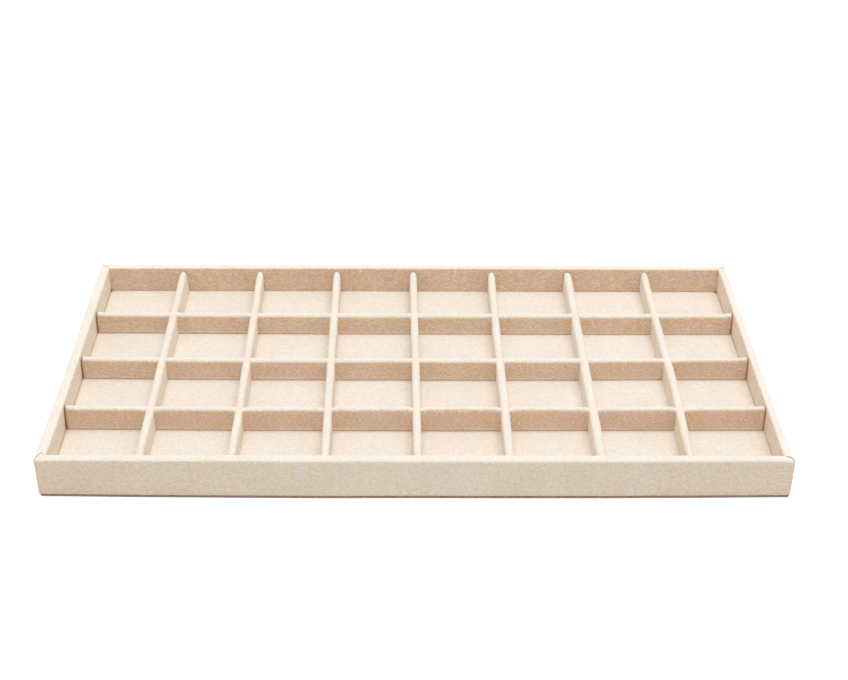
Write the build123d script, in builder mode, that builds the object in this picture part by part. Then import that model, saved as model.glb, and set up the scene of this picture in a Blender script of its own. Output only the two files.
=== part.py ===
from build123d import *
import os

# A low tray of suede-covered boards with a lift-out grid that makes 32 compartments.
# Millimetres, +Z up. X runs along the length and the front wall faces -Y.
# The origin is on the ground, under the middle of the tray.

os.makedirs("parts", exist_ok=True)

# Whole tray, outside the covering
tray_length = 375.0
tray_depth = 209.5
tray_height = 22.0

# Suede covering of every board
suede_thickness = 0.7
hem_width = 12.0

# Wall boards, which meet in a lapped joint at each corner
wall_board_thickness = 3.5
wall_board_edge_rounding = 0.5
wall_board_corner_rounding = 0.9
corner_lap_depth = 1.7

# Base board, let into a rebate around the foot of the walls
base_board_thickness = 3.0
base_rebate_depth = 1.5

# Felt under the base, stepped up inside the hems
felt_thickness = 1.3
felt_inset = 0.8
felt_corner_rounding = 1.5
felt_hem_clearance = 0.3

# Floor pad, a card covered with suede
floor_board_thickness = 1.2
floor_pad_clearance = 0.3
floor_pad_corner_rounding = 1.5
floor_pad_edge_rounding = 0.4

# Divider grid, boards that cross in half laps
long_divider_count = 3
cross_divider_count = 7
divider_board_thickness = 2.5
divider_easing_share = 0.29
divider_drop = 2.4
long_divider_end_clearance = 0.8
long_divider_forward_shift = 1.9
cross_divider_end_clearance = 0.4
lap_side_clearance = 0.1
lap_height_clearance = 0.3

# How far a cut runs past what it cuts
overrun = 1.0

# Levels above the ground
hem_bottom = felt_thickness
base_bottom = hem_bottom + suede_thickness
base_top = base_bottom + base_board_thickness
floor_board_top = base_top + floor_board_thickness
floor_level = floor_board_top + suede_thickness
divider_top = tray_height - divider_drop

# Plan sizes that follow from the covering and the boards
frame_length = tray_length - 2 * suede_thickness
frame_depth = tray_depth - 2 * suede_thickness
frame_opening_length = frame_length - 2 * wall_board_thickness
frame_opening_depth = frame_depth - 2 * wall_board_thickness
inner_length = frame_opening_length - 2 * suede_thickness
inner_depth = frame_opening_depth - 2 * suede_thickness
base_length = frame_opening_length + 2 * base_rebate_depth
base_depth = frame_opening_depth + 2 * base_rebate_depth

# The outward direction of each wall
wall_sides = {
    "front": Vector(0, -1, 0),
    "back": Vector(0, 1, 0),
    "left": Vector(-1, 0, 0),
    "right": Vector(1, 0, 0),
}


def write(piece, name):
    """Label a finished piece and write it under that name."""
    piece.part.label = name
    export_step(piece.part, f"parts/{name}.step")


# Base board: a plain panel that stiffens the tray and carries the floor pad
with BuildPart() as base_board:
    with BuildSketch(Plane.XY.offset(base_bottom)):
        Rectangle(base_length, base_depth)
    extrude(amount=base_board_thickness)

write(base_board, "base_board")

# The four wall boards as one frame, with rounded top edges and the rebate for the base board
with BuildPart() as board_frame:
    with BuildSketch(Plane.XY.offset(base_bottom)):
        RectangleRounded(frame_length, frame_depth, wall_board_corner_rounding)
        Rectangle(frame_opening_length, frame_opening_depth, mode=Mode.SUBTRACT)
    extrude(amount=tray_height - suede_thickness - base_bottom)
    fillet(board_frame.edges().group_by(Axis.Z)[-1], wall_board_edge_rounding)
    add(base_board.part, mode=Mode.SUBTRACT)

# Side walls end inside the front and back walls, in a rebate as deep as the corner lap
side_board_length = frame_depth - 2 * (wall_board_thickness - corner_lap_depth)
side_board_centre = (frame_length - wall_board_thickness) / 2

for side in ("left", "right"):
    with BuildPart() as wall_board:
        add(board_frame.part)
        with BuildSketch():
            with Locations((wall_sides[side].X * side_board_centre, 0)):
                Rectangle(wall_board_thickness, side_board_length)
        extrude(amount=tray_height, mode=Mode.INTERSECT)
    write(wall_board, f"{side}_wall_board")

# Front and back walls run the full length and lap over the ends of the side walls
front_board_centre = (frame_depth - wall_board_thickness) / 2

for side in ("front", "back"):
    with BuildPart() as wall_board:
        add(board_frame.part)
        with BuildSketch():
            with Locations((0, wall_sides[side].Y * front_board_centre)):
                Rectangle(frame_length, wall_board_thickness)
            with GridLocations(2 * side_board_centre, 0, 2, 1):
                Rectangle(wall_board_thickness, side_board_length, mode=Mode.SUBTRACT)
        extrude(amount=tray_height, mode=Mode.INTERSECT)
    write(wall_board, f"{side}_wall_board")

# The covering of all four walls: up the inside, over the rim, down the outside and under the base
with BuildPart() as wall_covering:
    with BuildSketch(Plane.XY.offset(hem_bottom)):
        RectangleRounded(tray_length, tray_depth, wall_board_corner_rounding + suede_thickness)
    extrude(amount=tray_height - hem_bottom)
    fillet(wall_covering.edges().group_by(Axis.Z)[0], suede_thickness)
    with BuildSketch(Plane.XY.offset(base_top)):
        Rectangle(inner_length, inner_depth)
    extrude(amount=tray_height - base_top, mode=Mode.SUBTRACT)
    fillet(wall_covering.edges().group_by(Axis.Z)[-1], wall_board_edge_rounding + suede_thickness)
    with BuildSketch(Plane.XY.offset(hem_bottom - overrun)):
        Rectangle(tray_length - 2 * hem_width, tray_depth - 2 * hem_width)
    extrude(amount=base_bottom - hem_bottom + overrun, mode=Mode.SUBTRACT)
    add(board_frame.part, mode=Mode.SUBTRACT)
    add(base_board.part, mode=Mode.SUBTRACT)

# Each wall's strip of it meets its neighbours in a mitre at the corners
for side, outward in wall_sides.items():
    along = Vector(outward.Y, outward.X, 0)
    with BuildPart() as wrap:
        add(wall_covering.part)
        split(bisect_by=Plane(Vector(), z_dir=outward), keep=Keep.TOP)
        for corner in (outward + along, outward - along):
            outer_corner = Vector(corner.X * tray_length / 2, corner.Y * tray_depth / 2, 0)
            split(bisect_by=Plane(outer_corner, z_dir=outward * 2 - corner), keep=Keep.TOP)
    write(wrap, f"{side}_wrap")

# Floor card and its suede, which covers its top and its edges
floor_length = inner_length - 2 * floor_pad_clearance
floor_depth = inner_depth - 2 * floor_pad_clearance

with BuildPart() as floor_board:
    with BuildSketch(Plane.XY.offset(base_top)):
        RectangleRounded(
            floor_length - 2 * suede_thickness,
            floor_depth - 2 * suede_thickness,
            floor_pad_corner_rounding,
        )
    extrude(amount=floor_board_thickness)

write(floor_board, "floor_board")

with BuildPart() as floor_suede:
    with BuildSketch(Plane.XY.offset(base_top)):
        RectangleRounded(floor_length, floor_depth, floor_pad_corner_rounding + suede_thickness)
    extrude(amount=floor_board_thickness + suede_thickness)
    fillet(floor_suede.edges().group_by(Axis.Z)[-1], floor_pad_edge_rounding)
    add(floor_board.part, mode=Mode.SUBTRACT)

write(floor_suede, "floor_suede")

# Felt on the underside: it laps the hems and rises between them to the base board
with BuildPart() as bottom_felt:
    with BuildSketch():
        RectangleRounded(
            tray_length - 2 * felt_inset,
            tray_depth - 2 * felt_inset,
            felt_corner_rounding,
        )
    extrude(amount=felt_thickness)
    with BuildSketch(Plane.XY.offset(felt_thickness)):
        Rectangle(
            tray_length - 2 * (hem_width + felt_hem_clearance),
            tray_depth - 2 * (hem_width + felt_hem_clearance),
        )
    extrude(amount=base_bottom - felt_thickness)

write(bottom_felt, "bottom_felt")

# The grid divides its own length and depth into equal compartments
divider_thickness = divider_board_thickness + 2 * suede_thickness
long_divider_length = inner_length - 2 * long_divider_end_clearance
cross_divider_length = inner_depth - 2 * cross_divider_end_clearance
cross_divider_pitch = (long_divider_length + divider_thickness) / (cross_divider_count + 1)
long_divider_pitch = (cross_divider_length + divider_thickness) / (long_divider_count + 1)

# Each crossing takes half of the height from either board
lap_width = divider_thickness + 2 * lap_side_clearance
lap_level = (floor_level + divider_top) / 2

# The board's upright section, its two top edges eased
with BuildSketch() as board_section:
    with Locations((0, floor_level)):
        Rectangle(
            divider_board_thickness,
            divider_top - suede_thickness - floor_level,
            align=(Align.CENTER, Align.MIN),
        )
    chamfer(
        board_section.vertices().group_by(Axis.Y)[-1],
        divider_board_thickness * divider_easing_share,
    )

# The suede's section: down both faces of the board and full round over its top
with BuildSketch() as suede_section:
    with Locations((0, divider_top - divider_thickness / 2)):
        Circle(divider_thickness / 2)
    with Locations((0, floor_level)):
        Rectangle(
            divider_thickness,
            divider_top - divider_thickness / 2 - floor_level,
            align=(Align.CENTER, Align.MIN),
        )
    add(board_section.sketch, mode=Mode.SUBTRACT)


def write_divider(name, number, middle, length, lap_slots):
    """Write a divider's board and the suede folded over it, both cut by the same lap slots."""
    with BuildPart() as divider_core:
        with BuildSketch(middle):
            add(board_section.sketch)
        extrude(amount=length / 2, both=True)
        add(lap_slots.part, mode=Mode.SUBTRACT)

    with BuildPart() as divider_wrap:
        with BuildSketch(middle):
            add(suede_section.sketch)
        extrude(amount=length / 2, both=True)
        add(lap_slots.part, mode=Mode.SUBTRACT)

    write(divider_core, f"{name}_core_{number}")
    write(divider_wrap, f"{name}_wrap_{number}")


# Long dividers run left to right, a little forward of even spacing, and are slotted from above
for row in range(long_divider_count):
    row_y = (row - (long_divider_count - 1) / 2) * long_divider_pitch - long_divider_forward_shift

    with BuildPart() as lap_slots:
        with BuildSketch(Plane.XY.offset(lap_level - lap_height_clearance / 2)):
            with Locations((0, row_y)):
                with GridLocations(cross_divider_pitch, 0, cross_divider_count, 1):
                    Rectangle(lap_width, divider_thickness + 2 * overrun)
        extrude(amount=divider_top - lap_level + overrun)

    row_plane = Plane.YZ.shift_origin((0, row_y, 0))
    write_divider("long_divider", row + 1, row_plane, long_divider_length, lap_slots)

# Cross dividers run front to back, are slotted from below and ride over the long ones
for column in range(cross_divider_count):
    column_x = (column - (cross_divider_count - 1) / 2) * cross_divider_pitch

    with BuildPart() as lap_slots:
        with BuildSketch(Plane.XY.offset(floor_level - overrun)):
            with Locations((column_x, -long_divider_forward_shift)):
                with GridLocations(0, long_divider_pitch, 1, long_divider_count):
                    Rectangle(divider_thickness + 2 * overrun, lap_width)
        extrude(amount=lap_level + lap_height_clearance / 2 - floor_level + overrun)

    column_plane = Plane.XZ.shift_origin((column_x, 0, 0))
    write_divider("cross_divider", column + 1, column_plane, cross_divider_length, lap_slots)
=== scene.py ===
import math
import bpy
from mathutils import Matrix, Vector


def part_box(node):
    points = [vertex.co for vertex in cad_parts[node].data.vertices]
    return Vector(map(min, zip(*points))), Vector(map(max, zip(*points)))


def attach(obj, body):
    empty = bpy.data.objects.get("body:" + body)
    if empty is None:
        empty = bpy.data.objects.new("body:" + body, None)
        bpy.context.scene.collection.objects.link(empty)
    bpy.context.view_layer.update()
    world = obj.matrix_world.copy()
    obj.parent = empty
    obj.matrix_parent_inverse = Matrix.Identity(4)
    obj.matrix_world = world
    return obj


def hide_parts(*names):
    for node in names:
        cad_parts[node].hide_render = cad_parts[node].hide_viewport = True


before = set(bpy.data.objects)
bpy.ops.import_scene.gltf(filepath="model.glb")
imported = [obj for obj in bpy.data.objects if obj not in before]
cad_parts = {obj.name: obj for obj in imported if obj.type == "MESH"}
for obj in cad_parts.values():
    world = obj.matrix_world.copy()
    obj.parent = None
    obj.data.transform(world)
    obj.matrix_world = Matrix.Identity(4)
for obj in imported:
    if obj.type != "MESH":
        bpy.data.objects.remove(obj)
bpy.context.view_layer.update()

from types import SimpleNamespace

import bmesh
import bpy
import numpy as np
from mathutils import Matrix, Vector, noise

mm = 0.001

# Wall boards and base board
# Sanded fibreboard, cut into four lapped wall strips and one panel let in under them.
# They are glued up first and then hidden by the suede, so all they show is a fibrous grain.


def paint(red, green, blue):
    """A colour read off a swatch card, 0 to 255, as the renderer's linear colour."""
    swatch = np.array([red, green, blue]) / 255
    linear = np.where(swatch <= 0.04045, swatch / 12.92, ((swatch + 0.055) / 1.055) ** 2.4)
    return (*linear.tolist(), 1.0)


def matt_finish(name, colour, roughness):
    """A matt material in one colour, ready for its grain."""
    finish = bpy.data.materials.new(name)
    finish.use_nodes = True
    shader = finish.node_tree.nodes["Principled BSDF"]
    shader.inputs["Base Color"].default_value = colour
    shader.inputs["Roughness"].default_value = roughness
    shader.inputs["Specular IOR Level"].default_value = 0.2
    return finish, finish.node_tree, shader


def give(tree, value, socket):
    """Gives a socket a pattern that other nodes work out, or a plain number or colour."""
    if isinstance(value, bpy.types.NodeSocket):
        tree.links.new(value, socket)
    else:
        socket.default_value = value


def grain(tree, place, size, stretch=(1, 1, 1), detail=2.0):
    """Cloudy grain, its blotches about size metres across and drawn out by the stretch."""
    scaled = tree.nodes.new("ShaderNodeMapping")
    scaled.inputs["Scale"].default_value = [1 / (size * s) for s in stretch]
    tree.links.new(place, scaled.inputs["Vector"])
    clouds = tree.nodes.new("ShaderNodeTexNoise")
    clouds.inputs["Scale"].default_value = 1.0
    clouds.inputs["Detail"].default_value = detail
    tree.links.new(scaled.outputs["Vector"], clouds.inputs["Vector"])
    return clouds.outputs["Fac"]


def spread_out(tree, mask, low, high, first, last):
    """The mask spread out so that it goes from first to last between low and high."""
    reach = tree.nodes.new("ShaderNodeMapRange")
    reach.inputs["From Min"].default_value = low
    reach.inputs["From Max"].default_value = high
    reach.inputs["To Min"].default_value = first
    reach.inputs["To Max"].default_value = last
    tree.links.new(mask, reach.inputs["Value"])
    return reach.outputs["Result"]


def tinted(tree, under, over, mask, low, high, share=1.0, mode="MIX"):
    """The under colour, taken that share of the way to the over colour as the mask goes from low
    to high. In the mode MULTIPLY it is the under colour shaded by the over colour instead."""
    blend = tree.nodes.new("ShaderNodeMix")
    blend.data_type = "RGBA"
    blend.blend_type = mode
    tree.links.new(spread_out(tree, mask, low, high, 0, share), blend.inputs["Factor"])
    give(tree, under, blend.inputs[6])
    give(tree, over, blend.inputs[7])
    return blend.outputs[2]


def raised(tree, shader, height, depth, over=None):
    """Lets the height pattern stand up from the surface by depth metres, over an earlier pattern
    if there is one."""
    relief = tree.nodes.new("ShaderNodeBump")
    relief.inputs["Distance"].default_value = depth
    tree.links.new(height, relief.inputs["Height"])
    if over is not None:
        tree.links.new(over, relief.inputs["Normal"])
    tree.links.new(relief.outputs["Normal"], shader.inputs["Normal"])
    return relief.outputs["Normal"]


def pressed_board(name, body, fleck, fibre):
    """Board pressed from fibres of that size: a speckled body with short pale flecks."""
    finish, tree, shader = matt_finish(name, body, roughness=0.9)
    place = tree.nodes.new("ShaderNodeTexCoord").outputs["Object"]
    fibres = grain(tree, place, fibre, stretch=(3, 1, 1), detail=4)
    cloud = grain(tree, place, 12 * fibre)
    colour = tinted(tree, body, fleck, fibres, low=0.45, high=0.8)
    colour = tinted(tree, colour, fleck, cloud, low=0.3, high=0.8, share=0.25)
    tree.links.new(colour, shader.inputs["Base Color"])
    raised(tree, shader, fibres, depth=0.12 * mm)
    return finish


def finish_node(node, finish):
    """Gives a CAD piece that stays in view its own finish."""
    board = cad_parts[node]
    board.data.materials.clear()
    board.data.materials.append(finish)


sanded_fibreboard = pressed_board(
    "sanded_fibreboard",
    body=paint(196, 166, 132),
    fleck=paint(222, 200, 170),
    fibre=0.6 * mm,
)
for node in ("front_wall_board", "back_wall_board", "left_wall_board", "right_wall_board", "base_board"):
    finish_node(node, sanded_fibreboard)

# Wall suede
# Four strips of brushed microfibre suede, glued up the inside of each wall, over the rim,
# down the outside and under the base board. They meet in mitres, pinched or lapped a little.

suede_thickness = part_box("floor_suede")[1].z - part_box("floor_board")[1].z
rim_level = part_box("front_wrap")[1].z
hem_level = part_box("front_wrap")[0].z
base_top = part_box("base_board")[1].z
tray_half = Vector((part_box("right_wrap")[1].x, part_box("back_wrap")[1].y))
hem_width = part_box("front_wrap")[1].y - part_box("front_wrap")[0].y
board_front, board_back = (corner.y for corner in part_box("front_wall_board"))
wall_thickness = board_back - board_front + 2 * suede_thickness

# How the strip's section bends round the wall, and how the strips are rounded at the corners
rim_bend = 1.1 * mm
rim_crown = 0.12 * mm
hem_bend = 0.75 * mm
corner_rounding = 0.9 * mm
inner_corner_reach = 6 * mm

# How far below the rim the pale painted highlight on the rim reaches, inside and outside, and how far its
# cloth is stretched
inner_rub = 0.9 * mm
outer_rub = 1.3 * mm
stretch_depth = 2.2 * mm
full_stretch_depth = 0.6 * mm

# Swells of the glued cloth, each with its height and its size, and how far the pinch and the
# drooping tip of a corner reach
wide_swell = (0.10 * mm, 22 * mm)
small_swell = (0.07 * mm, 6 * mm)
rim_swell = (0.08 * mm, 5 * mm)
pinch_reach = 3.2 * mm
pinch_depth = 3 * mm
pinch_rise = 1.2 * mm
droop_reach = 4 * mm

# Cut edges: where a seam opens inside and settles outside, from the rim's bends, how far the
# edges sink and show brown, and how long a frayed stretch is
seam_opens = 1.5 * mm
seam_settles = 2.5 * mm
cut_sink = 0.05 * mm
cut_sink_reach = 0.3 * mm
brown_reach = 0.35 * mm
stretched_brown_reach = 0.65 * mm
brown_fade = 1 * mm
brown_speck = 0.6 * mm
fray_length = 1.2 * mm
fray_reach = 0.6 * mm

# Nearly all of the noise that makes the grain lies between these two values
noise_low = 0.36
noise_high = 0.66

# The suede's brown back and cut edge, and the faint shades laid over its nap
suede_brown = paint(176, 118, 88)
yellow_shade = (1.0, 0.98, 0.88, 1)
grey_shade = (0.97, 0.96, 0.945, 1)
pink_shade = (1.0, 0.96, 0.94, 1)


def mark_of(tree, name):
    """Reads back what was marked on the points of a cloth."""
    mark = tree.nodes.new("ShaderNodeAttribute")
    mark.attribute_name = name
    return mark.outputs["Vector" if name == "cloth" else "Fac"]


def worked_out(tree, operation, *values):
    """A step of arithmetic on patterns, marks and plain numbers."""
    step = tree.nodes.new("ShaderNodeMath")
    step.operation = operation
    for value, socket in zip(values, step.inputs):
        give(tree, value, socket)
    return step.outputs[0]


def half_rubbed(tree, nap_mark, pattern, unevenness):
    """The painted light mark, made uneven by the pattern where it lies halfway between the painted lit
    tone and the painted shaded tone.
    """
    patchy = spread_out(tree, pattern, noise_low, noise_high, -unevenness, unevenness)
    unrubbed = worked_out(tree, "SUBTRACT", 1, nap_mark)
    halfway = worked_out(tree, "MULTIPLY", nap_mark, unrubbed)
    return worked_out(tree, "MULTIPLY_ADD", patchy, halfway, nap_mark)


def brushed_suede(name, pale, pale_fleck, deep, deep_streak, drawn_out):
    """Microfibre suede with a short nap, with light and shade painted into its colour: pale and faintly
    flecked where it is painted as lit, deeper where it is painted as in shade, with fine streaks drawn
    out by brushing, and brown where a cut edge or a painted shade shows."""
    finish, tree, shader = matt_finish(name, pale, roughness=0.92)
    place = mark_of(tree, "cloth")
    nap = mark_of(tree, "nap")
    clouds = grain(tree, place, 24 * mm, detail=1)
    blush = grain(tree, place, 2.0 * mm, detail=1)
    flecks = grain(tree, place, 1.1 * mm, stretch=(1.3, 1, 1))
    streaks = grain(tree, place, 0.62 * mm, stretch=(drawn_out, 1, 1))
    fuzz = grain(tree, place, 0.35 * mm, detail=1)
    mottle = grain(tree, place, 3.0 * mm, stretch=(1.8, 1, 1))
    tufts = grain(tree, place, 1.6 * mm, stretch=(1.5, 1, 1))
    # Painted light: the pale tone is painted where the surface is taken as lit, the deep streaked tone
    # where it is taken as in shade, and the painted light mark blends them
    rubbed = tinted(tree, pale, pale_fleck, flecks, noise_low, noise_high)
    brushed = tinted(tree, deep, deep_streak, streaks, noise_low, noise_high)
    brushed = tinted(tree, brushed, deep_streak, flecks, noise_low, noise_high, share=0.35)
    uneven_nap = half_rubbed(tree, nap, tufts, unevenness=0.65)
    tone = tinted(tree, brushed, rubbed, uneven_nap, low=0, high=1)
    yellowed = tinted(tree, tone, yellow_shade, mottle, low=0.42, high=0.58, mode="MULTIPLY")
    tone = tinted(tree, yellowed, tone, nap, low=0.65, high=1)
    tone = tinted(tree, tone, grey_shade, clouds, low=0.35, high=0.65, mode="MULTIPLY")
    tone = tinted(tree, tone, pink_shade, blush, low=0.42, high=0.62, mode="MULTIPLY")
    tone = tinted(tree, tone, suede_brown, mark_of(tree, "raw_edge"), low=0, high=1)
    tree.links.new(tone, shader.inputs["Base Color"])
    relief = raised(tree, shader, flecks, depth=0.10 * mm)
    relief = raised(tree, shader, streaks, depth=0.14 * mm, over=relief)
    raised(tree, shader, fuzz, depth=0.06 * mm, over=relief)
    shader.inputs["Sheen Weight"].default_value = 0.15
    shader.inputs["Sheen Roughness"].default_value = 0.6
    shader.inputs["Sheen Tint"].default_value = pale
    return finish


# pale is the tone painted where the suede is lit, deep the tone painted where it is in shade
cream_suede = brushed_suede(
    "cream_suede",
    pale=paint(252, 248, 238),
    pale_fleck=paint(243, 235, 223),
    deep=paint(246, 226, 209),
    deep_streak=paint(216, 190, 169),
    drawn_out=2.4,
)
suede_back, back_tree, back_shader = matt_finish("suede_back", suede_brown, roughness=0.95)
back_place = back_tree.nodes.new("ShaderNodeTexCoord").outputs["Object"]
back_weave = grain(back_tree, back_place, 0.4 * mm, detail=3)
back_tone = tinted(back_tree, suede_brown, paint(186, 146, 112), back_weave, low=0.35, high=0.7)
back_tree.links.new(back_tone, back_shader.inputs["Base Color"])
raised(back_tree, back_shader, back_weave, depth=0.1 * mm)


def bend(middle, radius, first, last, steps):
    """Points of a round bend in a section, from the first angle to the last, in degrees."""
    turns = np.radians(np.linspace(first, last, steps + 1))
    return [(middle[0] + radius * math.cos(a), middle[1] + radius * math.sin(a)) for a in turns]


def path_lengths(section):
    """How far along its section each point lies."""
    steps = np.linalg.norm(np.diff(np.array(section), axis=0), axis=1)
    return np.concatenate([[0], np.cumsum(steps)])


def swell(kind, lengthwise, crosswise, seed):
    """How high a soft random swell stands at a place, from its kind: its height and its size.
    It is the same on every run."""
    height, size = kind
    return height * noise.noise(Vector((lengthwise / size, crosswise / size, 7.3 * seed)))


def pushed_out(grid, pushes):
    """The grid of rows and stations with each point moved along its outward direction."""
    outward = np.cross(np.gradient(grid, axis=0), np.gradient(grid, axis=1))
    outward /= np.maximum(np.linalg.norm(outward, axis=2, keepdims=True), 1e-15)
    return grid + outward * pushes[:, :, None]


def numbered_cells(rows, stations):
    """The numbers of a grid's points, and of the four points round each of its cells."""
    number = np.arange(rows * stations).reshape(rows, stations)
    corners = (number[:-1, :-1], number[1:, :-1], number[1:, 1:], number[:-1, 1:])
    return number, np.stack(corners, axis=2)


def add_piece(name, mesh, *finishes):
    """Puts a finished mesh in the scene under that name, smooth and with its finishes."""
    mesh.polygons.foreach_set("use_smooth", [True] * len(mesh.polygons))
    for finish in finishes:
        mesh.materials.append(finish)
    piece = bpy.data.objects.new(name, mesh)
    bpy.context.scene.collection.objects.link(piece)
    return piece


def mark_cloth(mesh, cloth, **marks):
    """Stores where each point lies on the flat cloth, and its other marks: how brown it is, for a cut
    edge and for painted shade, and how far it is painted pale as if lit rather than deeper as if in shade."""
    place = mesh.attributes.new("cloth", "FLOAT_VECTOR", "POINT")
    place.data.foreach_set("vector", np.asarray(cloth, np.float32).reshape(-1))
    for name, values in marks.items():
        mark = mesh.attributes.new(name, "FLOAT", "POINT")
        mark.data.foreach_set("value", np.asarray(values, np.float32).reshape(-1))


def cut_suede(name, grid, cloth, raw, nap, finish, kept=None):
    """A sheet of suede of its real thickness whose right side follows the grid of points.
    kept says which cells of the grid are cloth, where slots are cut out of it."""
    number, cells = numbered_cells(*grid.shape[:2])
    if kept is None:
        kept = np.ones(cells.shape[:2], bool)
    mesh = bpy.data.meshes.new(name)
    mesh.from_pydata(grid.reshape(-1, 3).tolist(), [], cells[kept].tolist())
    mark_cloth(mesh, cloth, raw_edge=raw, nap=nap)
    work = bmesh.new()
    work.from_mesh(mesh)
    bmesh.ops.delete(work, geom=[v for v in work.verts if not v.link_faces], context="VERTS")
    work.to_mesh(mesh)
    work.free()
    piece = add_piece(name, mesh, finish, suede_back)
    thick = piece.modifiers.new("suede_thickness", "SOLIDIFY")
    thick.thickness = suede_thickness
    thick.offset = -1
    thick.material_offset = 1
    thick.material_offset_rim = 1
    return piece


inner_levels = np.linspace(base_top, rim_level - rim_bend, 9)[:-1]
rim_shares = np.linspace(1, -1, 5)[1:-1]
rim_flat = wall_thickness / 2 - rim_bend
outer_levels = np.linspace(rim_level - rim_bend, hem_level + hem_bend, 12)[1:-1]
hem_depths = np.linspace(hem_bend, hem_width, 7)[1:]
wall_section = [(wall_thickness, level) for level in inner_levels]
wall_section += bend((wall_thickness - rim_bend, rim_level - rim_bend), rim_bend, 0, 90, steps=6)
for share in rim_shares:
    wall_section.append((wall_thickness / 2 + rim_flat * share, rim_level + rim_crown * (1 - share**2)))
wall_section += bend((rim_bend, rim_level - rim_bend), rim_bend, 90, 180, steps=6)
wall_section += [(0.0, level) for level in outer_levels]
wall_section += bend((hem_bend, hem_level + hem_bend), hem_bend, 180, 270, steps=4)
wall_section += [(depth, hem_level) for depth in hem_depths]
wall_path = path_lengths(wall_section)

rim_start = rim_level - rim_bend - base_top
rim_end = rim_start + math.pi * rim_bend + 2 * rim_flat
rim_middle = (rim_start + rim_end) / 2
face_end = rim_end + rim_level - rim_bend - hem_level - hem_bend
wall_suede_width = wall_path[-1]

# Each corner, in millimetres: how far the strip that starts there stops short of the mitre on the
# outer face, and on the rim at its outer tip, middle and inner edge; how far the pinched ear and
# the foot stand out and the tip droops; how brown the cut edge is (a factor) and how far in from the
# outer face it stays brown; and how high up the inner corner it is frayed
corner_ways = {
    "front_left": dict(
        face=0.9, rim=(-1.0, -4.0, -0.6), ear=0.4, foot=0.15, droop=0, raw=1.4, brown_to=2.3, fray=None
    ),
    "front_right": dict(
        face=0.9, rim=(0.7, 0.1, -0.5), ear=1.0, foot=0.5, droop=0.35, raw=1.3, brown_to=3, fray=None
    ),
    "back_right": dict(
        face=0.7, rim=(-1.2, -0.9, -0.6), ear=0.15, foot=0.2, droop=0, raw=0.8, brown_to=3, fray=14.4
    ),
    "back_left": dict(
        face=0.7, rim=(0.1, 0.05, 0), ear=0.15, foot=0.2, droop=0, raw=0.2, brown_to=3, fray=2.0
    ),
}
# Each wall, followed anticlockwise: its outward direction and its two corners. Then, in
# millimetres at even steps from corner to corner: how far its outer face bows out, how much
# further its foot stands out, how far its rim lifts, and how far its inner face lies out at the
# foot and at the rim. Last, how far its two faces are painted pale as if lit rather than deeper
# as if in shade (a share), which is painted light. What a wall doesn't say is as on a plain wall
plain_wall = dict(foot=(0, 0), inner_foot=(0, 0), inner_rim=(0, 0), inner_nap=0, outer_nap=(0.5, 0.5))
walls = {
    "front": dict(
        plain_wall,
        out=(0, -1, 0),
        corners=("front_left", "front_right"),
        bow=(0, 0.5, 0.7, 0.8, 0.8, 0.8, 0.7, 0.5, 0),
        foot=(-0.2, 0.1, 0.4, 0.7, 0.5, 0.6, 0.6, 0.4, 0.2),
        lift=(0.2, 0.3, 0.4, 0.36, 0.38, 0.36, 0.4, 0.4, 0.25),
        outer_nap=(0.42, 0.56, 0.69, 0.6, 0.47),
    ),
    "right": dict(
        plain_wall,
        out=(1, 0, 0),
        corners=("front_right", "back_right"),
        bow=(-0.3, -0.35, -0.3, -0.2, -0.1, -0.1, 0),
        lift=(0.2, 0, 0.2),
        inner_foot=(0.65, 0.65),
        inner_rim=(0.4, 0.4),
        inner_nap=0.56,
    ),
    "back": dict(
        plain_wall,
        out=(0, 1, 0),
        corners=("back_right", "back_left"),
        bow=(0, 0.1, 0.1, 0.1, 0),
        lift=(0.2, 0.25, 0.3, 0.4, 0.45, 0.4, 0.3, 0.25, 0.2),
    ),
    "left": dict(
        plain_wall,
        out=(-1, 0, 0),
        corners=("back_left", "front_left"),
        bow=(0.4, 0.55, 0.7, 0.7, 0.7, 0.65, 0.6, 0.6, 0.55, 0.5, 0.5, 0.55, 0.7, 0.8, 0.9, 1.2, 0.75),
        foot=(0, 0, 0, 0, -0.35),
        lift=(0.2, 0, 0.2),
        inner_foot=(0.3, 0.3),
        inner_rim=(0, 0, 0, 0, 0, 0.05, 0.15, 0.3, 0.5),
        inner_nap=0.66,
    ),
}
wall_spacing = 2.5 * mm
close_steps = np.array([0, 0.12, 0.3, 0.55, 0.9, 1.35, 2, 2.9, 4.2, 6]) * mm


def crowded(length, spacing):
    """Places along a cut piece, close together at both of its ends."""
    start, stop = close_steps[-1], length - close_steps[-1]
    middle = np.linspace(start, stop, max(2, round((stop - start) / spacing) + 1))
    return np.concatenate([close_steps[:-1], middle, length - close_steps[-2::-1]])


def seam_short(way, path):
    """How far short of the mitre the starting strip stops, this far along its section."""
    turns = [0, rim_start - seam_opens, rim_start + rim_bend * math.pi / 2, rim_middle]
    turns += [rim_end - rim_bend, rim_end + seam_settles, face_end, wall_suede_width]
    return mm * np.interp(path, turns, [0, 0, *way["rim"][::-1], way["face"], way["face"], 0])


def along(steps, share):
    """What a list of even steps, in millimetres, gives at a place from -1 to 1 along it."""
    return mm * np.interp(share, np.linspace(-1, 1, len(steps)), steps)


def near(distance, reach):
    """1 at a place, falling softly to 0 a few reaches away from it."""
    return math.exp(-((distance / reach) ** 2))


def rise(value, low, high):
    """From 0 at low to 1 at high, levelling off softly at both ends."""
    share = min(max((value - low) / (high - low), 0), 1)
    return share * share * (3 - 2 * share)


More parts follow.
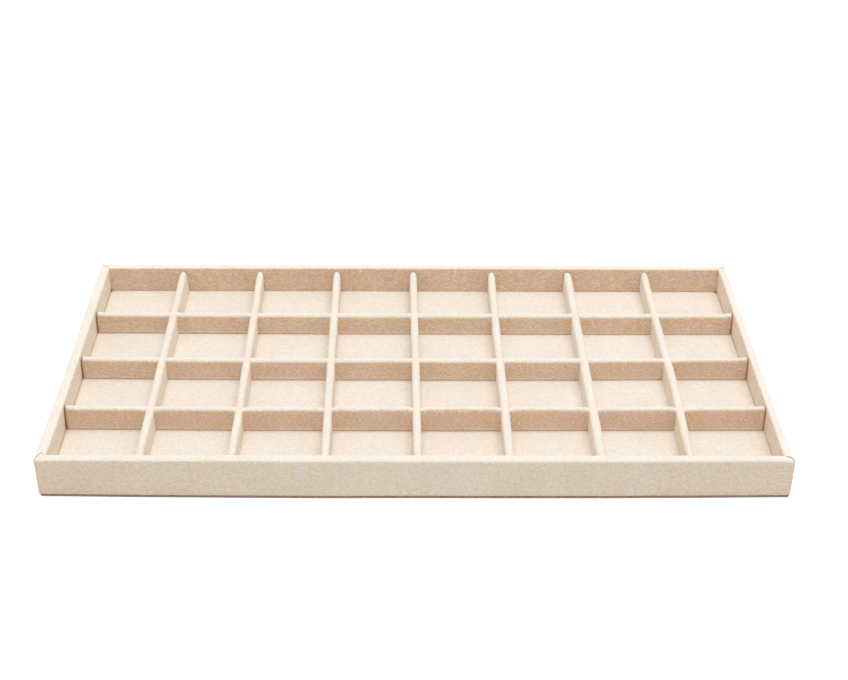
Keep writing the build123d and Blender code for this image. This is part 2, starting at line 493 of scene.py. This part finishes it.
def round_corner(depth, beyond):
    """Where a point of the covering lies that is this far beyond the mitre along its wall:
    its distances in from the next wall's outer face and from its own wall's."""
    radius = max(corner_rounding - depth, 0)
    run = abs(beyond)
    turn = math.radians(45) * (1 - min(run / radius, 1)) if radius else 0
    from_next = depth + max(run, radius) - radius * math.sin(turn)
    from_own = depth + radius - radius * math.cos(turn)
    return (from_next, from_own) if beyond >= 0 else (from_own, from_next)


def inner_set_back(wall, end, up):
    """How far a wall's inner face lies out at a place from -1 to 1 along it, between foot and rim."""
    return along(wall["inner_foot"], end) * (1 - up) + along(wall["inner_rim"], end) * up


def bowed_out(wall, end, spot):
    """How far a wall's own bows carry a point of its covering out."""
    inward = spot.from_own / wall_thickness
    bowed = (along(wall["bow"], end) + (1 - spot.up) * along(wall["foot"], end)) * max(0, 1 - inward)
    if spot.inner_half:
        bowed += inner_set_back(wall, end, spot.up) * min(1, inward)
    return bowed


def bowed_on(next_wall, end, spot):
    """How far the bows of the next wall, at its end by this corner, carry a point on along its wall."""
    inward = spot.from_next / wall_thickness
    bowed = along(next_wall["bow"], end) * max(0, 1 - inward)
    if spot.inner_half:
        beside = near(max(0, spot.from_next - wall_thickness), inner_corner_reach) * min(1, inward)
        bowed += inner_set_back(next_wall, end, spot.up) * beside
    return bowed


def stands_up(way, spot, seed):
    """How far the cloth stands out from its section: in soft swells, and pinched at a corner."""
    push = swell(wide_swell, spot.place, spot.path, seed)
    push += swell(small_swell, spot.place, spot.path, seed + 10)
    push += swell(rim_swell, spot.place, spot.path, seed + 20) * spot.stretch
    pinch = mm * (way["ear"] * spot.up + way["foot"] * (1 - spot.up))
    pinch *= near(spot.beyond, pinch_reach) * near(spot.depth, pinch_depth)
    push += pinch * rise(spot.level, hem_level, hem_level + pinch_rise)
    if not spot.inside:
        push -= cut_sink * near(spot.from_cut, cut_sink_reach)
    return push


def brown_edge(way, spot):
    """How much of the brown cut edge shows beside a seam, and where the inner corner is frayed."""
    faded = rise(spot.depth, way["brown_to"] * mm, way["brown_to"] * mm + brown_fade)
    bare = 0.1 if spot.inside else 0.15 + 0.85 * spot.stretch * (1 - faded)
    speck = 0.65 + 0.35 * noise.noise(Vector((spot.place, spot.level, spot.depth)) / brown_speck)
    reach = brown_reach + (stretched_brown_reach - brown_reach) * spot.stretch
    edge = way["raw"] * bare * speck * near(spot.from_cut, reach)
    if spot.inside and way["fray"]:
        frayed = near(spot.path - way["fray"] * mm, fray_length) * near(spot.from_cut, fray_reach)
        edge = max(edge, frayed)
    return edge


wall_order = list(walls.values())
for seed, (side, wall) in enumerate(walls.items()):
    outward = Vector(wall["out"])
    onward = Vector((0, 0, 1)).cross(outward)
    stands_out, reach = tray_half if outward.x else tray_half.yx
    ways = [corner_ways[corner] for corner in wall["corners"]]
    next_walls = (wall_order[seed - 1], wall_order[(seed + 1) % 4])
    shares = crowded(2 * reach, wall_spacing) / (2 * reach)
    grid = np.zeros((len(wall_section), len(shares), 3))
    cloth = np.zeros_like(grid)
    raw, nap, pushes = np.zeros((3, *grid.shape[:2]))
    for row, ((depth, level), path) in enumerate(zip(wall_section, wall_path)):
        start = seam_short(ways[0], path)
        stop = 2 * (reach - depth) + seam_short(ways[1], path)
        inner_half = path < rim_middle
        rub = inner_rub if inner_half else outer_rub
        on_rim = rise(level, rim_level - rub, rim_level - 0.25 * rub)
        spot = SimpleNamespace(depth=depth, level=level, path=path, inner_half=inner_half)
        spot.inside = path < rim_start
        spot.up = (level - hem_level) / (rim_level - hem_level)
        spot.stretch = rise(level, rim_level - stretch_depth, rim_level - full_stretch_depth)
        for station, share in enumerate(shares):
            at_start = share < 0.5
            way = ways[0 if at_start else 1]
            next_wall, next_end = (next_walls[0], 1) if at_start else (next_walls[1], -1)
            travel = start + share * (stop - start)
            spot.beyond = travel if at_start else 2 * (reach - depth) - travel
            spot.from_cut = min(share, 1 - share) * (stop - start)
            spot.from_next, spot.from_own = round_corner(depth, spot.beyond)
            corner_side = -1 if at_start else 1
            place = corner_side * (reach - spot.from_next)
            end = place / reach
            bowed = bowed_out(wall, end, spot)
            spot.place = place + corner_side * bowed_on(next_wall, next_end, spot)
            lifted = along(wall["lift"], end) * spot.stretch
            drooped = way["droop"] * mm * near(spot.beyond, droop_reach) * near(depth, pinch_depth)
            lifted -= drooped * spot.stretch
            grid[row, station] = onward * spot.place + outward * (stands_out - spot.from_own + bowed)
            grid[row, station, 2] = level + lifted
            cloth[row, station] = spot.place, path, 0.1 * seed
            pushes[row, station] = stands_up(way, spot, seed)
            raw[row, station] = brown_edge(way, spot)
            # Painted light: each face is painted pale as if lit by its share, and fully pale up on the rim
            rubbed = wall["inner_nap"] if inner_half else along(wall["outer_nap"], end) / mm
            nap[row, station] = on_rim + (1 - on_rim) * rubbed
    strip = cut_suede(f"{side}_wall_suede", pushed_out(grid, pushes), cloth, raw, nap, cream_suede)
    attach(strip, "tray")
    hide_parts(f"{side}_wrap")

# Base felt
# Thin brown felt, cut with rounded corners and glued over the base board and the suede hems.
# Its edge shows as a dark band under the front wall, and it also stands in for the contact shadow there.

# The felt stops a little short of the tray's outline, and its middle fills the field between the hems
felt_low, felt_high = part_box("bottom_felt")
felt_inset = Vector((0.2, 0.3)) * mm
felt_half = tray_half - felt_inset
felt_hem_clearance = 0.3 * mm
field_inset = hem_width - felt_inset.x + felt_hem_clearance
field_rounding = 0.4 * mm
felt_rounding = 1.1 * mm
felt_bend = 0.3 * mm
felt_spacing = 5 * mm


def pad_points(half, rounding, level, counts):
    """A rounded rectangle filled with rows of points, the outermost of them on its outline."""
    lines = []
    for reach, count in zip(half, counts):
        edge = reach - rounding + rounding * np.linspace(0, 1, 5)[1:]
        inner = np.linspace(rounding - reach, reach - rounding, count)
        lines.append(np.concatenate([-edge[::-1], inner, edge]))
    x, y = np.meshgrid(*lines, indexing="ij")
    over_x = np.maximum(np.abs(x) - (half[0] - rounding), 0) / rounding
    over_y = np.maximum(np.abs(y) - (half[1] - rounding), 0) / rounding
    x -= np.sign(x) * rounding * over_x * (1 - np.sqrt(1 - over_y**2 / 2))
    y -= np.sign(y) * rounding * over_y * (1 - np.sqrt(1 - over_x**2 / 2))
    return np.stack([x, y, np.full_like(x, level)], axis=2)


def outline_of(field):
    """The points on the outline of a filled field, in order round it."""
    return np.concatenate([field[:-1, 0], field[-1, :-1], field[:0:-1, -1], field[0, :0:-1]])


def layered_pad(name, layers, spacing, swells=(0, 1)):
    """A closed pad: from its first layer, which is filled, round its edge to the last, which is too
    and may swell a little. A layer is its half length and half width, its rounding and its level."""
    counts = [round(2 * h / spacing) for h in layers[0][0]]
    fields = [pad_points(half, rounding, level, counts) for half, rounding, level in layers]
    top = fields[-1]
    for i, j in np.ndindex(top.shape[:2]):
        top[i, j, 2] += swell(swells, top[i, j, 0], top[i, j, 1], seed=31)
    number, cells = numbered_cells(*top.shape[:2])
    cells = cells.reshape(-1, 4)
    ring = outline_of(number)
    points = [fields[0].reshape(-1, 3), top.reshape(-1, 3)]
    faces = [cells[:, ::-1], cells + number.size]
    rings = [ring]
    first_free = 2 * number.size
    for field in fields[1:-1]:
        points.append(outline_of(field))
        rings.append(first_free + np.arange(len(ring)))
        first_free += len(ring)
    rings.append(ring + number.size)
    for below, above in zip(rings[:-1], rings[1:]):
        faces.append(np.stack([below, np.roll(below, -1), np.roll(above, -1), above], axis=1))
    mesh = bpy.data.meshes.new(name)
    points = np.concatenate(points)
    mesh.from_pydata(points.tolist(), [], np.concatenate(faces).tolist())
    mark_cloth(mesh, points, raw_edge=np.zeros(len(points)), nap=np.ones(len(points)))
    return mesh


def inset(half, amount):
    """The half length and half width of a layer drawn in by that amount all round."""
    return half - Vector((amount, amount))


felt_layers = [
    (inset(felt_half, felt_bend), felt_rounding - felt_bend, felt_low.z),
    (inset(felt_half, felt_bend / 3), felt_rounding, felt_low.z + felt_bend / 3),
    (felt_half, felt_rounding, felt_low.z + felt_bend),
    (felt_half, felt_rounding, hem_level - felt_bend),
    (inset(felt_half, felt_bend), felt_rounding - felt_bend, hem_level),
    (inset(felt_half, field_inset), field_rounding, hem_level),
    (inset(felt_half, field_inset), field_rounding, felt_high.z),
]
pressed_felt, felt_tree, felt_shader = matt_finish("pressed_felt", paint(180, 149, 130), roughness=0.97)
felt_place = felt_tree.nodes.new("ShaderNodeTexCoord").outputs["Object"]
felt_fibres = grain(felt_tree, felt_place, 0.5 * mm, stretch=(2.5, 1, 1), detail=4)
felt_dark, felt_pale = paint(158, 125, 106), paint(197, 168, 149)
felt_tone = tinted(felt_tree, felt_dark, felt_pale, felt_fibres, low=0.35, high=0.7)
felt_tree.links.new(felt_tone, felt_shader.inputs["Base Color"])
raised(felt_tree, felt_shader, felt_fibres, depth=0.3 * mm)
felt_mesh = layered_pad("base_felt", felt_layers, felt_spacing)
for point in felt_mesh.vertices:
    end = point.co.x / tray_half.x
    at_front = rise(-point.co.y, felt_half.y - hem_width, felt_half.y)
    point.co.y -= at_front * (along(walls["front"]["bow"], end) + along(walls["front"]["foot"], end))
felt = add_piece("base_felt", felt_mesh, pressed_felt)
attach(felt, "tray")
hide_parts("bottom_felt")

# Floor card and floor suede
# A grey card covered with a slightly pinker suede, which is turned down over its edges.
# The pad drops in between the walls and leaves a narrow gap all round.

grey_card = pressed_board(
    "grey_card",
    body=paint(168, 158, 148),
    fleck=paint(196, 188, 178),
    fibre=0.5 * mm,
)
finish_node("floor_board", grey_card)
floor_suede = brushed_suede(
    "floor_suede",
    pale=paint(249, 244, 235),
    pale_fleck=paint(239, 231, 221),
    deep=paint(243, 226, 208),
    deep_streak=paint(228, 207, 186),
    drawn_out=1.4,
)

floor_low, floor_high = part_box("floor_suede")
card_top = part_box("floor_board")[1].z

# The pad is a little fuller than its solid, longer still, and set a little to the right
floor_fuller = 0.18 * mm
floor_longer = 0.45 * mm
floor_moves_right = 0.18 * mm
floor_rounding = 3.2 * mm
floor_bend = 0.35 * mm
floor_spacing = 3 * mm
floor_swell = (0.04 * mm, 14 * mm)
floor_half = inset(Vector((floor_high.x, floor_high.y)), -floor_fuller)
floor_half.x += floor_longer
inside_suede = inset(floor_half, suede_thickness)
half_bend = 0.29 * floor_bend
floor_layers = [
    (inside_suede, floor_rounding - suede_thickness, card_top),
    (inside_suede, floor_rounding - suede_thickness, floor_low.z),
    (floor_half, floor_rounding, floor_low.z),
    (floor_half, floor_rounding, floor_high.z - floor_bend),
    (inset(floor_half, half_bend), floor_rounding, floor_high.z - half_bend),
    (inset(floor_half, floor_bend), floor_rounding - floor_bend, floor_high.z),
]
floor_mesh = layered_pad("floor_pad_suede", floor_layers, floor_spacing, swells=floor_swell)
floor_mesh.transform(Matrix.Translation((floor_moves_right, 0, 0)))
floor_pad = add_piece("floor_pad_suede", floor_mesh, floor_suede)
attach(floor_pad, "tray")
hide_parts("floor_suede")

# Divider grid
# Ten grey cards, each with suede folded over its top and glued down both sides, cross in half laps
# and lift out as one. This is what both kinds share: where they stand and how each is cut and covered.

divider_low, divider_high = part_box("long_divider_wrap_1")
divider_foot, divider_top = divider_low.z, divider_high.z
divider_half = (divider_high.y - divider_low.y) / 2
long_reach = divider_high.x
cross_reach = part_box("cross_divider_wrap_1")[1].y
lap_tightness = 0.05 * mm
lap_width = 2 * divider_half - lap_tightness
lap_middle = (divider_foot + divider_top) / 2
lap_clearance = 0.3 * mm

# The levels of a divider's section, and how its cloth settles at the laps and sways between them
plain_level = divider_foot + 2.2 * mm
bend_level = divider_top - divider_half - 0.4 * mm
foot_steps = np.array([0, 0.25, 0.5, 0.8, 1.05, 1.3, 1.6]) * mm
divider_spacing = 2.2 * mm
settle_reach = 4 * mm
sway_reach = 8 * mm
ripple = (0.05 * mm, 6 * mm)
crown_lean = 0.75
tip_length = 5 * mm

# How far its card stays inside the suede, and where a painted highlight line runs just above its foot
card_gap = 0.03 * mm
card_short = 0.15 * mm
foot_line_level = divider_foot + 1.3 * mm
foot_line_width = 0.35 * mm
foot_line_patches = (0.6, 16 * mm)
crest_fade = 1 * mm


def middles_of(kind, axis):
    """Where the dividers of a kind stand in the frame, in order."""
    names = sorted(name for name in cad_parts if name.startswith(f"{kind}_divider_wrap_"))
    return [sum(corner[axis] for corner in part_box(name)) / 2 for name in names]


long_middles = middles_of("long", 1)
cross_middles = middles_of("cross", 0)

# How far each long divider strays back from its line, in millimetres from left to right
long_strays = [
    (0.4, 0.3, -0.1, -0.35, -0.4, -0.3, 0, 0.3, 0.4),
    (0.4, 0.3, -0.1, -0.15, -0.15, -0.15, 0.1, 0.4, 0.4),
    (0.4, 0.4, 0.3, 0.2, 0.15, 0.2, 0.15, 0.25, 0.4),
]
# How far each cross divider strays to the right of its line, in millimetres from front to back
cross_strays = [
    (-0.5, -0.45, -0.55, -0.65, -0.6),
    (-0.3, -0.2, -0.2, -0.35, -0.45),
    (0.45, 0.2, -0.15, -0.3, -0.3),
    (0.85, 0.6, 0.32, -0.2, -0.65),
    (0.85, 0.93, 0.6, 0.2, 0.35),
    (0.95, 1.0, 0.85, 0.5, 0.1),
    (-0.35, -0.1, 0.45, 0.95, 0.8, 0.63, 0.5, 0.4, 0.35),
]


def laps_at(share, middles, strays):
    """Where a divider, at that share of their length, laps with the dividers that cross it."""
    return [middle + along(stray, share) for middle, stray in zip(middles, strays)]


def fold_section(levels, radius, steps):
    """A section over a divider: up one side through the levels, round over the top and down the
    other side."""
    section = [(radius, level) for level in levels]
    section += bend((0, divider_top - divider_half), radius, 0, 180, steps)
    section += [(-radius, level) for level in levels[::-1]]
    return section


def divider_stations(start, stop, laps):
    """Places along a divider, crowded on both sides of each lap."""
    edges = [start] + [lap + side * lap_width / 2 for lap in laps for side in (-1, 1)] + [stop]
    stations = []
    for free_start, free_stop in zip(edges[::2], edges[1::2]):
        stations += (free_start + crowded(free_stop - free_start, divider_spacing)).tolist()
    return np.array(stations)


def swayed(sway, place, height, from_lap, path, seed):
    """How far the cloth sways aside: widely towards the top between laps, and in small ripples."""
    between_laps = min(1, max(0, from_lap) / sway_reach)
    return swell(sway, place, 0, seed) * height * between_laps + swell(ripple, place, path, seed)


def carried_along(divider, section, stations):
    """The section carried along a divider with all its strays, and how brown the cloth is there, from cut
    edges and painted shade.
    """
    widest = max(aside for aside, level in section)
    path = path_lengths(section)
    grid = np.zeros((len(section), len(stations), 3))
    edges = np.zeros(grid.shape[:2])
    for station, place in enumerate(stations):
        share = place / divider.reach
        nearest_lap = min(divider.laps, key=lambda lap: abs(place - lap))
        from_lap = abs(place - nearest_lap) - lap_width / 2
        from_tip = min(place - divider.start, divider.stop - place)
        settled = rise(from_lap, 0, settle_reach)
        beside_crown = max(0, 1 - max(0, from_lap) / settle_reach) if divider.slot_above else 0
        tapered = divider.tip_taper * rise(place, divider.stop - tip_length, divider.stop)
        for row, (aside, level) in enumerate(section):
            height = max(0, (level - divider_foot) / (divider_top - divider_foot))
            plumper = 1 + (along(divider.plump, share) - tapered * height**2) / widest
            sway, lift, edge = divider.shape(
                place, height, from_lap, from_tip, level, path[row], divider.seed
            )
            lift += settled * along(divider.lift, share) * height**2
            crown = max(0, min(1, (level - divider_top + divider_half) / divider_half))
            over_crown = crown_lean * divider_half * (1 - math.sqrt(1 - crown**2)) * beside_crown
            along_line = place + math.copysign(over_crown, nearest_lap - place)
            strayed = along(divider.strays, share) + along(divider.foot, share) * (1 - height)
            if divider.along_x:
                across = aside * plumper + sway + strayed
                grid[row, station] = along_line, divider.middle + across, level + lift
            else:
                across = aside * plumper + sway - strayed
                grid[row, station] = divider.middle - across, along_line, level + lift
            edges[row, station] = edge
    return grid, edges


def rubbed_nap(divider, section, stations):
    """How far the cloth is painted pale as if lit: a painted highlight over the top, and a patchy painted
    highlight line just above the foot.
    """
    nap = np.zeros((len(section), len(stations)))
    for station, place in enumerate(stations):
        rub_level = divider_top - along(divider.rub, place / divider.reach)
        patchy = 0.55 + swell(foot_line_patches, place, 0, divider.seed + 30)
        for row, (aside, level) in enumerate(section):
            rubbed = divider.crest * rise(level, rub_level, rub_level + crest_fade)
            foot_line = near(level - foot_line_level, foot_line_width) * patchy * (1 - divider.nap)
            rubbed = max(rubbed, foot_line)
            nap[row, station] = rubbed + (1 - rubbed) * divider.nap
    return nap


def left_by_slots(divider, section, stations):
    """Which cells of a divider's grid are left once its slots are cut."""
    centres = (stations[:-1] + stations[1:]) / 2
    in_lap = np.min(np.abs(centres[:, None] - np.array(divider.laps)[None]), axis=1) < lap_width / 2
    levels = np.array([(low[1] + high[1]) / 2 for low, high in zip(section[:-1], section[1:])])
    in_slot = levels > divider.lap_level if divider.slot_above else levels < divider.lap_level
    return ~(in_slot[:, None] & in_lap[None])


def closed_board(name, grid, kept):
    """A solid board whose skin is the fold of points, closed along its foot, at its ends and round
    its slots, where each point is joined to the one across from it."""
    rows, stations = grid.shape[:2]
    number, cells = numbered_cells(rows, stations)
    across = number[::-1]
    faces = cells[kept].tolist()
    filled = np.pad(kept[: rows // 2], 1)
    for r, s in np.ndindex(rows // 2, stations):
        if filled[r + 1, s] != filled[r + 1, s + 1]:
            faces.append((number[r, s], number[r + 1, s], across[r + 1, s], across[r, s]))
        if filled[r, s + 1] != filled[r + 1, s + 1]:
            faces.append((number[r, s], number[r, s + 1], across[r, s + 1], across[r, s]))
    faces = [[int(n) for n in dict.fromkeys(face)] for face in faces]
    mesh = bpy.data.meshes.new(name)
    mesh.from_pydata(grid.reshape(-1, 3).tolist(), [], faces)
    work = bmesh.new()
    work.from_mesh(mesh)
    bmesh.ops.recalc_face_normals(work, faces=work.faces)
    work.to_mesh(mesh)
    work.free()
    board = add_piece(name, mesh, grey_card)
    mesh.set_sharp_from_angle(angle=math.radians(40))
    return board


def covered_divider(kind, count, divider):
    """A divider's card and the suede folded over it, both shaped point by point and slotted alike."""
    divider.reach = max(abs(divider.start), abs(divider.stop))
    levels = [divider_foot, plain_level, divider.lap_level, bend_level]
    section = fold_section(levels, divider_half - suede_thickness - card_gap, steps=8)
    stations = divider_stations(divider.start + card_short, divider.stop - card_short, divider.laps)
    grid, edges = carried_along(divider, section, stations)
    kept = left_by_slots(divider, section, stations)
    card = closed_board(f"{kind}_divider_card_{count}", grid, kept)
    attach(card, "divider_grid")
    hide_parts(f"{kind}_divider_core_{count}")

    levels = (divider_foot + foot_steps).tolist()
    levels += np.linspace(plain_level, divider.lap_level, 4).tolist()
    levels += np.linspace(divider.lap_level, bend_level, 4)[1:-1].tolist()
    section = fold_section(levels, divider_half, steps=12)
    path = path_lengths(section)
    stations = divider_stations(divider.start, divider.stop, divider.laps)
    grid, edges = carried_along(divider, section, stations)
    cloth = [[(place, width, 0.1 * divider.seed) for place in stations] for width in path]
    nap = rubbed_nap(divider, section, stations)
    kept = left_by_slots(divider, section, stations)
    suede = cut_suede(f"{kind}_divider_suede_{count}", grid, cloth, edges, nap, cream_suede, kept)
    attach(suede, "divider_grid")
    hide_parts(f"{kind}_divider_wrap_{count}")


# Long dividers
# Three of the covered cards run from left to right and nearly reach the side walls.
# Seven slots from above let the cross dividers in, so their tops are cut into short lengths.

# Each from left to right, in millimetres: how much further back its foot is than its top, how far
# its top lifts between the laps and how deep the pale painted highlight on its top reaches
long_ways = [
    dict(
        foot=(0.4, 0.1, -0.1, -0.15, -0.15, -0.1, 0.05, 0.1, 0.15),
        lift=(0.45, 0.45, 0.45, 0.6, 0.75, 0.7, 0.6, 0.65, 0.7),
        rub=(1.5, 1.5, 1.5, 1.35, 1.0, 1.05, 1.25, 1.25, 1.15),
    ),
    dict(
        foot=(0.8, 0.25, 0, 0, 0, -0.05, 0, 0.3, 0.6),
        lift=(0, 0, 0, 0, 0, 0, 0, 0.1, 0.3),
        rub=(1.6, 1.8, 1.9, 1.9, 1.8, 1.75, 1.75, 1.5, 0.9),
    ),
    dict(
        foot=(0.8, 0.25, 0.1, 0, 0.1, 0.15, 0.05, 0.15, 0.4),
        lift=(-0.2, -0.2),
        rub=(1.7, 1.75, 1.9, 2.15, 2.2, 2.15, 2.0, 1.95, 1.9),
    ),
]
longer_left = 0.6 * mm
longer_right = 1.15 * mm

# A long divider's sways and waves, how its cut ends drop and rise at the tips, and how it shows brown,
# as cut edges and painted shade: a pair of measures is a height and its size or reach
long_sway = (0.16 * mm, 30 * mm)
long_wave = (0.16 * mm, 12 * mm)
long_drop = (0.3 * mm, 1.5 * mm)
long_tip_rise = (0.6 * mm, 4 * mm)
long_foot_brown = 0.4 * mm
long_foot_patches = (0.3, 4 * mm)
long_tip_brown = 0.7 * mm
long_lap_brown = 0.4 * mm


def long_shape(place, height, from_lap, from_tip, level, path, seed):
    """How a long divider strays from its section: aside, up, and how brown its suede is, as cut edges and
    as painted shade at its foot, tips and laps.
    """
    sway = swayed(long_sway, place, height, from_lap, path, seed)
    lift = swell(long_wave, place, 0, seed + 5) * height**2
    shoulder = max(0, 1 - min(from_lap, from_tip) / long_drop[1])
    lift -= long_drop[0] * height**4 * shoulder**2
    lift += long_tip_rise[0] * height**4 * near(from_tip, long_tip_rise[1])
    # Brown at the foot, tips and laps: partly the cut edge, partly painted shade where the divider meets
    # the floor, the walls and the crossing dividers
    patchy = 0.7 + swell(long_foot_patches, place, 0, seed + 9)
    foot_edge = near(level - divider_foot, long_foot_brown) * patchy
    return sway, lift, max(foot_edge, near(from_tip, long_tip_brown), 0.1 * near(from_lap, long_lap_brown))


for count, (middle, strays, way) in enumerate(zip(long_middles, long_strays, long_ways), 1):
    divider = SimpleNamespace(
        middle=middle,
        along_x=True,
        start=-long_reach - longer_left,
        stop=long_reach + longer_right,
        laps=laps_at(middle / cross_reach, cross_middles, cross_strays),
        lap_level=lap_middle - lap_clearance / 2,
        slot_above=True,
        tip_taper=0,
        seed=40 + count,
        shape=long_shape,
        strays=strays,
        plump=(0, 0),
        nap=0,
        crest=1.0,
        **way,
    )
    covered_divider("long", count, divider)

# Cross dividers
# Seven of the covered cards run from front to back and are slotted from below.
# They ride over the long dividers, so their tops run through unbroken.

# Each from front to back, in millimetres: how much further right its foot is than its top, how much
# plumper than its card it is, and how far its sides are painted pale as if lit (a share), painted light
cross_ways = [
    dict(foot=(0.15, 0.2, 0.35, 0.55, 0.75), plump=(0.2, 0.2), nap=0.74),
    dict(foot=(0, 0.05, 0.15, 0, -0.35), plump=(0.15, 0.15), nap=0.69),
    dict(foot=(0.35, 0.15, 0, -0.1, -0.3), plump=(0.2, 0.25), nap=0.64),
    dict(foot=(0.2, 0.05, 0, 0.05, -0.1), plump=(0.2, 0.18), nap=0.66),
    dict(foot=(0.45, 0.25, 0.2, 0.2, 0.1), plump=(0.3, 0.4, 0.3, 0.15, 0.2), nap=0.72),
    dict(foot=(0.1, 0.05, 0.1, 0.1, 0.1), plump=(0.5, 0.5, 0.5, 0.3, 0.3), nap=0.82),
    dict(foot=(0, 0, -0.1, 0.05, 0.15), plump=(0.05, 0.3, 0.3, 0.15, 0.12), nap=0.66),
]
cross_rub = (1.8, 1.8)

# A cross divider's sways and waves, how its tips drop, where and how its back end rises, and how
# its foot shows brown, as a cut edge and as a painted contact shadow
cross_sway = (0.16 * mm, 26 * mm)
cross_wave = (0.12 * mm, 14 * mm)
cross_drop = (0.4 * mm, 1.8 * mm)
cross_back_rise = 0.85 * mm
cross_back = (80 * mm, 98 * mm)
cross_foot_brown = 0.3 * mm
cross_foot_patches = (0.6, 6 * mm)


def cross_shape(place, height, from_lap, from_tip, level, path, seed):
    """How a cross divider strays from its section: aside, up, and how brown its suede is along its foot,
    as a cut edge and as a painted contact shadow.
    """
    sway = swayed(cross_sway, place, height, from_lap, path, seed)
    lift = swell(cross_wave, place, 0, seed + 5) * height**2
    shoulder = max(0, 1 - from_tip / cross_drop[1])
    lift -= cross_drop[0] * height**4 * shoulder**2
    lift += cross_back_rise * height**4 * rise(place, *cross_back)
    # Brown along the foot: partly the cut edge, partly a painted contact shadow where it meets the floor
    patchy = 0.4 + swell(cross_foot_patches, place, 0, seed + 9)
    edge = 0.85 * near(level - divider_foot, cross_foot_brown) * patchy
    return sway, lift, max(0, edge)


for count, (middle, strays, way) in enumerate(zip(cross_middles, cross_strays, cross_ways), 1):
    divider = SimpleNamespace(
        middle=middle,
        along_x=False,
        start=-cross_reach,
        stop=cross_reach,
        laps=laps_at(middle / long_reach, long_middles, long_strays),
        lap_level=lap_middle + lap_clearance / 2,
        slot_above=False,
        tip_taper=0.4 * mm,
        seed=60 + count,
        shape=cross_shape,
        strays=strays,
        lift=(0, 0),
        rub=cross_rub,
        crest=0.85,
        **way,
    )
    covered_divider("cross", count, divider)

# Studio
# A pale floor and background that run out of sight in white, an even and slightly warm light from
# all round, and one soft box above the tray.

floor_size = 6.0
floor_drop = 0.05 * mm
studio_floor = bpy.data.meshes.new("studio_floor")
corners = [(x * floor_size, y * floor_size, 0) for x, y in ((-1, -1), (1, -1), (1, 1), (-1, 1))]
studio_floor.from_pydata(corners, [], [(0, 1, 2, 3)])
white_floor, floor_tree, floor_shader = matt_finish("white_floor", (0.8, 0.8, 0.8, 1), roughness=0.9)
floor = add_piece("studio_floor", studio_floor, white_floor)
floor.location.z = -floor_drop


def where_seen(tree):
    """1 where a surface is looked at, straight or in a reflection, and 0 where it lights the tray."""
    rays = tree.nodes.new("ShaderNodeLightPath").outputs
    seen = worked_out(tree, "MAXIMUM", rays["Is Camera Ray"], rays["Is Glossy Ray"])
    return worked_out(tree, "MAXIMUM", seen, rays["Is Transmission Ray"])


def shaders_joined(tree, kind, *parts):
    """The parts joined by a shader node of that kind."""
    joined = tree.nodes.new(kind)
    for part, socket in zip(parts, joined.inputs):
        tree.links.new(part, socket)
    return joined.outputs[0]


glow = floor_tree.nodes.new("ShaderNodeEmission")
glow.inputs["Strength"].default_value = 0.62
lit = floor_shader.outputs[0]
whitened = shaders_joined(floor_tree, "ShaderNodeAddShader", lit, glow.outputs[0])
floor_look = shaders_joined(floor_tree, "ShaderNodeMixShader", where_seen(floor_tree), lit, whitened)
floor_tree.links.new(floor_look, floor_tree.nodes["Material Output"].inputs["Surface"])

world = bpy.data.worlds.new("studio_light")
bpy.context.scene.world = world
world.use_nodes = True
world_tree = world.node_tree
ambient = world_tree.nodes["Background"]
ambient.inputs["Color"].default_value = (1.0, 0.985, 0.965, 1)
ambient.inputs["Strength"].default_value = 0.68
white = world_tree.nodes.new("ShaderNodeBackground")
white.inputs["Color"].default_value = (1, 1, 1, 1)
white.inputs["Strength"].default_value = 1.0
backdrops = (ambient.outputs[0], white.outputs[0])
world_look = shaders_joined(world_tree, "ShaderNodeMixShader", where_seen(world_tree), *backdrops)
world_tree.links.new(world_look, world_tree.nodes["World Output"].inputs["Surface"])

soft_box = bpy.data.lights.new("overhead_box", "AREA")
soft_box.shape = "RECTANGLE"
soft_box.size = 1.4
soft_box.size_y = 0.7
soft_box.energy = 16.0
soft_box.color = (0.97, 0.985, 1.0)
overhead_box = bpy.data.objects.new("overhead_box", soft_box)
overhead_box.location = (0.2, 0.0, 1.9)
bpy.context.scene.collection.objects.link(overhead_box)

# Camera
# It stands in front of the tray and looks down on it at about 30 degrees, through a short
# telephoto lens. Its place and turns were fitted to the corners and crossings of the tray.

camera_place = Vector((-6.0, -785.4, 483.1)) * mm
camera_looks_right = 0.79
camera_looks_down = 29.96
camera_roll = 0.51
camera_data = bpy.data.cameras.new("camera")
camera_data.lens = 70.54
camera_data.sensor_width = 36.0
camera_data.sensor_fit = "HORIZONTAL"
camera = bpy.data.objects.new("camera", camera_data)
camera_turn = Matrix.Rotation(math.radians(-camera_looks_right), 4, "Z")
camera_turn = camera_turn @ Matrix.Rotation(math.radians(90 - camera_looks_down), 4, "X")
camera_turn = camera_turn @ Matrix.Rotation(math.radians(camera_roll), 4, "Z")
camera.matrix_world = Matrix.Translation(camera_place) @ camera_turn
bpy.context.scene.collection.objects.link(camera)
bpy.context.scene.camera = camera
bpy.context.scene.view_settings.view_transform = "Standard"
